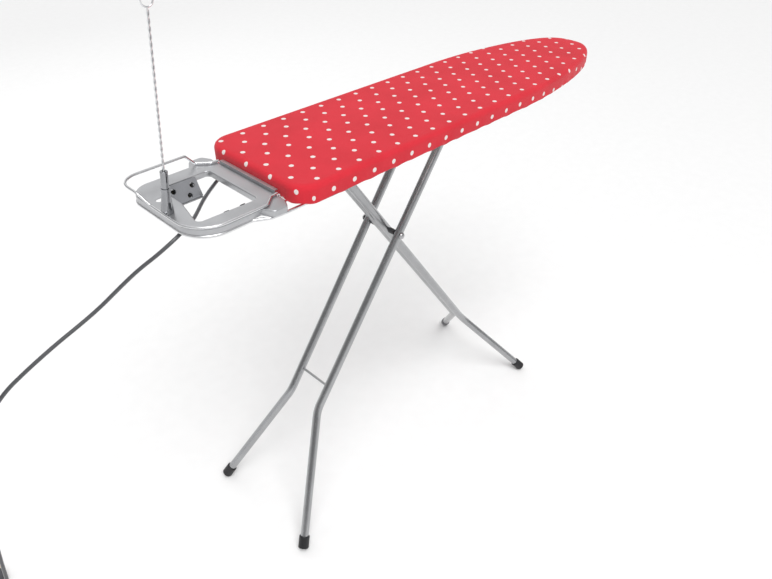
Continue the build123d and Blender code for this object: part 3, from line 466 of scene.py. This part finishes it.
# -------------------------------------------------------------- plastic parts
# Moulded caps, bushes, slider and blocks in black; the socket in dark grey
# gloss; the cord holder in plated metal.
black_rubber = solid_finish("black_rubber", (0.010, 0.010, 0.012), 0.45, grain=800, depth=0.05)
# The far inner foot's cap is the same black rubber painted lighter grey: a painted highlight for the light that falls
# on it.
painted_highlight_rubber = solid_finish("painted_highlight_rubber", (0.19, 0.19, 0.20), 0.5, grain=800, depth=0.05)
black_plastic = solid_finish("black_plastic", (0.028, 0.028, 0.031), 0.42, grain=1100, depth=0.04)
socket_plastic = solid_finish("socket_plastic", (0.215, 0.22, 0.235), 0.3, grain=900, depth=0.02, coat=0.3)
holder_metal = solid_finish("holder_metal", (0.34, 0.345, 0.36), 0.24, metallic=0.95, grain=900, depth=0.02)
dress(black_rubber, "inner_foot_near", "outer_foot_near", "outer_foot_far", "lever_grip")
# Painted highlight: the far inner foot alone gets the lighter grey copy of the black rubber.
dress(painted_highlight_rubber, "inner_foot_far")
dress(black_plastic, "pivot_bush_near", "pivot_bush_far", "slider_spacer_near", "slider_spacer_far", "slider",
      "rest_block_near", "rest_block_far", "bar_clips", "cord_clip")
dress(socket_plastic, "socket_face", "socket_box", "cord_gland")
dress(holder_metal, "holder_base")

# ------------------------------------------------------------------ cord wand
# Two thin steel wires twisted together, standing in the holder and ending in
# an eye for the iron's cord.
loop_low, loop_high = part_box("wand_loop")
lean = radians(5.5)
lean_toward = (0.695, -0.719)
eye_r = 0.0096
eye_wire_r = 0.0013
eye_neck = 0.0016
wand_up = np.array((lean_toward[0] * sin(lean), lean_toward[1] * sin(lean), cos(lean)))
wand_up /= np.linalg.norm(wand_up)
wand_side = np.cross(wand_up, (0.0, 1.0, 0.0))
wand_side /= np.linalg.norm(wand_side)
wand_front = np.cross(wand_up, wand_side)
loop_centre = (np.array(loop_low) + np.array(loop_high)) / 2
wand_length = 0.280
wand_top = loop_centre - wand_up * (eye_r + eye_neck)
wand_start = wand_top - wand_up * wand_length


def pipe(name, line, radius, sides=8, closed=False):
    """A round tube of a radius along a line of points, its ring turned with the line's tangent.

    Each ring is centre + radius (cos a u + sin a v), with u across the tangent
    and as near as can be to a fixed direction, and v across both.
    """
    line = np.asarray(line)
    tangent = np.gradient(line, axis=0)
    if closed:
        tangent = np.roll(line, -1, axis=0) - np.roll(line, 1, axis=0)
    tangent /= np.linalg.norm(tangent, axis=1)[:, None]
    across = np.cross(tangent, (0.0, 1.0, 0.05))
    across /= np.linalg.norm(across, axis=1)[:, None]
    other = np.cross(tangent, across)
    angle = np.linspace(0, 2 * pi, sides, endpoint=False)[:, None, None]
    rings = line[None] + radius * (np.cos(angle) * across + np.sin(angle) * other)
    rings = rings.transpose(1, 0, 2)
    count = len(line)
    grid = np.arange(count * sides).reshape(count, sides)
    if closed:
        grid = np.concatenate([grid, grid[:1]])
    ahead = np.roll(grid, -1, axis=1)
    faces = np.stack([grid[:-1], ahead[:-1], ahead[1:], grid[1:]], axis=-1).reshape(-1, 4).tolist()
    if not closed:
        faces += [grid[0][::-1].tolist(), grid[-1].tolist()]
    mesh = bpy.data.meshes.new(name)
    mesh.from_pydata(rings.reshape(-1, 3), [], faces)
    built = bmesh.new()
    built.from_mesh(mesh)
    bmesh.ops.recalc_face_normals(built, faces=built.faces)
    built.to_mesh(mesh)
    built.free()
    mesh.shade_smooth()
    piece = bpy.data.objects.new(name, mesh)
    scene.collection.objects.link(piece)
    return piece


strand_r = 0.00115
lay_length = 0.022
height = np.linspace(0, wand_length, 460)
for number in (0, 1):
    turned = 2 * pi * height / lay_length + pi * number
    strand = (wand_start + height[:, None] * wand_up
              + strand_r * (np.cos(turned)[:, None] * wand_side + np.sin(turned)[:, None] * wand_front))
    wire = pipe(f"wand_strand_{number}", strand, strand_r)
    wire.data.materials.append(bright_wire)
    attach(wire, "cord_wand")
    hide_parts("wand")
ring_angle = np.linspace(0, 2 * pi, 48, endpoint=False)
eye_line = loop_centre + eye_r * (np.cos(ring_angle)[:, None] * wand_side + np.sin(ring_angle)[:, None] * wand_up)
eye = pipe("wand_eye", eye_line, eye_wire_r, closed=True)
eye.data.materials.append(bright_wire)
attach(eye, "cord_wand")
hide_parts("wand_loop")

# ----------------------------------------------------------- floor and lights
# A plain pale floor. Soft light comes from overhead, from a big panel above
# the viewer and from one behind, under a pale sky with one grey band, which
# gives the bright metal its dark streaks.
floor_mesh = bpy.data.meshes.new("floor")
floor_half = 40.0
floor_z = -0.0005
floor_mesh.from_pydata([(-floor_half, -floor_half, floor_z), (floor_half, -floor_half, floor_z),
                        (floor_half, floor_half, floor_z), (-floor_half, floor_half, floor_z)], [], [(0, 1, 2, 3)])
floor = bpy.data.objects.new("floor", floor_mesh)
scene.collection.objects.link(floor)
floor.data.materials.append(solid_finish("floor_paint", (0.93, 0.93, 0.93), 0.9, grain=60, depth=0.01, spread=0.01))

world = bpy.data.worlds.new("studio")
world.use_nodes = True
world_nodes = world.node_tree.nodes
world_link = world.node_tree.links.new
sky_place = world_nodes.new("ShaderNodeTexCoord")
sky_parts = world_nodes.new("ShaderNodeSeparateXYZ")
sky_ramp = world_nodes.new("ShaderNodeValToRGB")
# Height above the horizon, and how light the sky is there.
sky_bands = ((0.0, 0.93), (0.16, 0.90), (0.24, 0.20), (0.46, 0.30), (0.62, 0.95), (1.0, 1.0))
sky_ramp.color_ramp.elements[0].position = sky_bands[0][0]
sky_ramp.color_ramp.elements[0].color = [sky_bands[0][1]] * 3 + [1]
for band_height, grey in sky_bands[1:-1]:
    sky_ramp.color_ramp.elements.new(band_height).color = [grey] * 3 + [1]
sky_ramp.color_ramp.elements[-1].position = sky_bands[-1][0]
sky_ramp.color_ramp.elements[-1].color = [sky_bands[-1][1]] * 3 + [1]
world_link(sky_place.outputs["Generated"], sky_parts.inputs["Vector"])
world_link(sky_parts.outputs["Z"], sky_ramp.inputs["Fac"])
world_link(sky_ramp.outputs["Color"], world_nodes["Background"].inputs["Color"])
world_nodes["Background"].inputs["Strength"].default_value = 0.75
scene.world = world


def area_light(name, place, target, size, power):
    """A square panel of light at a place, facing a target."""
    data = bpy.data.lights.new(name, "AREA")
    data.size = size
    data.energy = power
    light = bpy.data.objects.new(name, data)
    light.location = place
    light.rotation_euler = (Vector(target) - Vector(place)).to_track_quat("-Z", "Y").to_euler()
    scene.collection.objects.link(light)


area_light("key", (-1.2, -2.2, 3.4), (0, 0, 0.8), 2.2, 30)
area_light("back", (0.5, 3.2, 2.6), (0, 0, 0.8), 2.4, 12)
overhead_data = bpy.data.lights.new("overhead", "SUN")
overhead_data.energy = 1.35
overhead_data.angle = radians(40)
overhead = bpy.data.objects.new("overhead", overhead_data)
overhead.rotation_euler = (radians(24), radians(-14), 0)
scene.collection.objects.link(overhead)
scene.view_settings.view_transform = "Standard"

bpy.context.view_layer.update()
